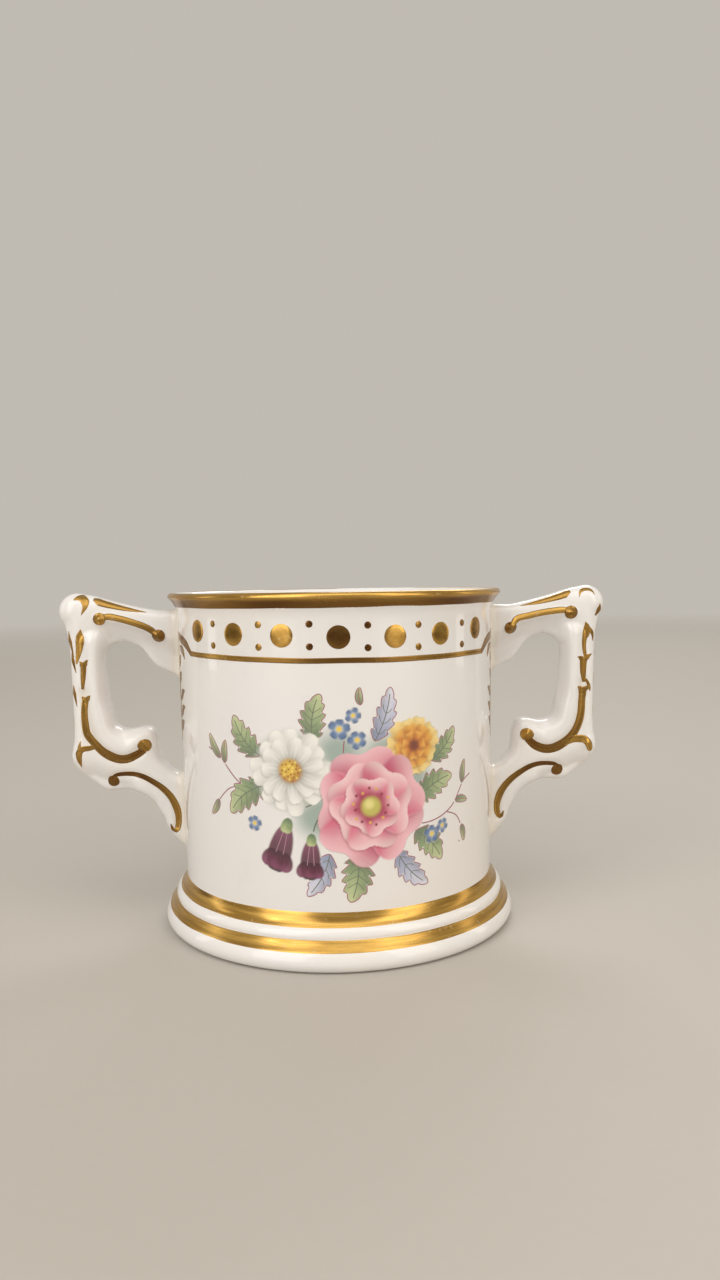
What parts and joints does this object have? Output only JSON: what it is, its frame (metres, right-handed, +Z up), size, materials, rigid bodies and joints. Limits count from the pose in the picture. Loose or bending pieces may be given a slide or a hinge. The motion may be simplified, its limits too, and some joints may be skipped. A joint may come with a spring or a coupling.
{
  "type": "two-handled cup",
  "caption": "Small straight-sided porcelain cup on a spreading moulded foot, with scroll handles, a flared gilt lip and gilt ornament, for display or a small posy.",
  "frame": {"origin": "centre of the standing face, on the axis of the cup", "axes": "+Z up along the axis of the cup, +X out through one handle, -Y out of the front face"},
  "size_m": [0.0674, 0.0428, 0.0402],
  "materials": {
    "glazed_china": "warm white bone china under a clear, glossy lead-free glaze",
    "fired_slip": "fired casting slip, matt where it isn't glazed over",
    "burnished_gold": "fired and burnished gilding, with brush marks"
  },
  "bodies": {
    "root": {"cup_body": "glazed_china", "foot_ring": "glazed_china", "left_handle": "glazed_china", "right_handle": "glazed_china", "foot_slip_joint": "fired_slip", "left_upper_slip_joint": "fired_slip", "left_lower_slip_joint": "fired_slip", "right_upper_slip_joint": "fired_slip", "right_lower_slip_joint": "fired_slip", "rim_gilding": "burnished_gold", "upper_foot_gilding": "burnished_gold", "lower_foot_gilding": "burnished_gold", "front_frieze_line": "burnished_gold", "back_frieze_line": "burnished_gold", "front_frieze_disc_1": "burnished_gold", "front_frieze_disc_2": "burnished_gold", "front_frieze_disc_3": "burnished_gold", "front_frieze_disc_4": "burnished_gold", "front_frieze_disc_5": "burnished_gold", "front_frieze_disc_6": "burnished_gold", "front_frieze_disc_7": "burnished_gold", "back_frieze_disc_1": "burnished_gold", "back_frieze_disc_2": "burnished_gold", "back_frieze_disc_3": "burnished_gold", "back_frieze_disc_4": "burnished_gold", "back_frieze_disc_5": "burnished_gold", "back_frieze_disc_6": "burnished_gold", "back_frieze_disc_7": "burnished_gold", "left_top_bar_gilding_front": "burnished_gold", "left_top_bar_gilding_back": "burnished_gold", "left_scroll_gilding_front": "burnished_gold", "left_scroll_gilding_back": "burnished_gold", "left_leg_gilding_front": "burnished_gold", "left_leg_gilding_back": "burnished_gold", "right_top_bar_gilding_front": "burnished_gold", "right_top_bar_gilding_back": "burnished_gold", "right_scroll_gilding_front": "burnished_gold", "right_scroll_gilding_back": "burnished_gold", "right_leg_gilding_front": "burnished_gold", "right_leg_gilding_back": "burnished_gold"}
  },
  "joints": []
}
